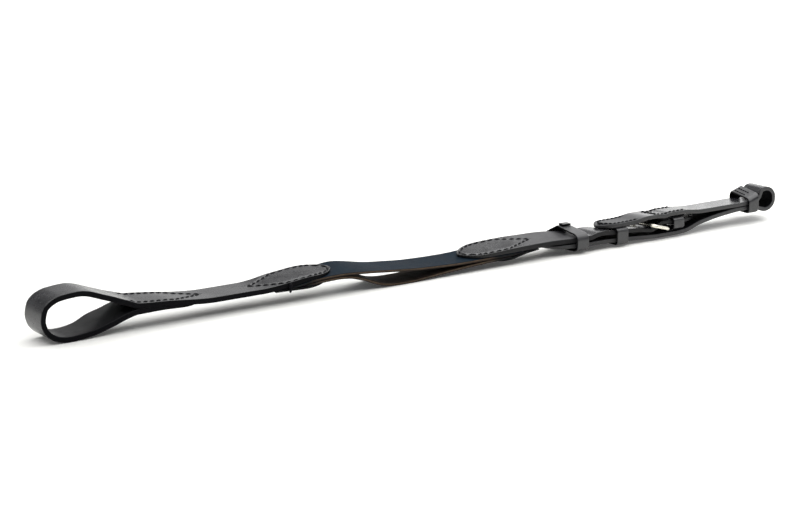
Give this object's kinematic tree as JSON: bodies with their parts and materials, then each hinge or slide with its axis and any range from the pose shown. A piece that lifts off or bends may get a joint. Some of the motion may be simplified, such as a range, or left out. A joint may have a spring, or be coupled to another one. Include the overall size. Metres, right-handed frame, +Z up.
{
  "type": "martingale strap",
  "caption": "Black leather martingale attachment strap with a sewn end loop, a split two-ply middle, sliding keepers and a buckled, adjustable end loop.",
  "frame": {"origin": "on the surface that the strap lies on, at the middle of its length and width", "axes": "+X along the strap from the sewn loop to the buckled loop, +Y across it, +Z up"},
  "size_m": [0.5094, 0.0265, 0.0282],
  "materials": {
    "strap_leather": "smooth, waxed",
    "band_leather": "smooth, raw edges",
    "keeper_leather": "satin",
    "plated_steel": "bright plated",
    "prong_steel": "satin",
    "waxed_thread": "waxed thread"
  },
  "bodies": {
    "strap": {"loop_strap": "strap_leather", "left_cover_leaf": "strap_leather", "upper_band": "band_leather", "lower_band": "band_leather", "billet_strap": "strap_leather", "right_cover_leaf": "strap_leather", "buckle_strap": "strap_leather", "strand_lining": "strap_leather", "buckle_chape": "strap_leather", "splice_keeper": "keeper_leather", "billet_keeper": "keeper_leather", "loop_seam": "waxed_thread", "left_leaf_seam": "waxed_thread", "right_leaf_seam": "waxed_thread", "splice_seam": "waxed_thread", "lining_seam": "waxed_thread"},
    "frame": {"buckle_frame": "plated_steel"},
    "prong": {"buckle_prong": "prong_steel"},
    "sliding_keeper": {"sliding_keeper": "keeper_leather"},
    "loop_keeper": {"loop_keeper": "keeper_leather"}
  },
  "joints": [
    {"name": "frame_hinge", "type": "hinge", "parent": "strap", "child": "frame", "pos_m": [0.1695, 0, 0.00564], "axis": [0, 0.9967, -0.0811], "range_deg": [-2, 2]},
    {"name": "prong_hinge", "type": "hinge", "parent": "frame", "child": "prong", "pos_m": [0.1695, 0, 0.00564], "axis": [0, 0.9967, -0.0811], "range_deg": [0, 1]},
    {"name": "sliding_keeper_slide", "type": "slide", "parent": "strap", "child": "sliding_keeper", "axis": [1, 0, 0], "range_m": [-0.01, 0.002]},
    {"name": "loop_keeper_slide", "type": "slide", "parent": "strap", "child": "loop_keeper", "axis": [1, 0, 0], "range_m": [-0.01, 0]}
  ]
}
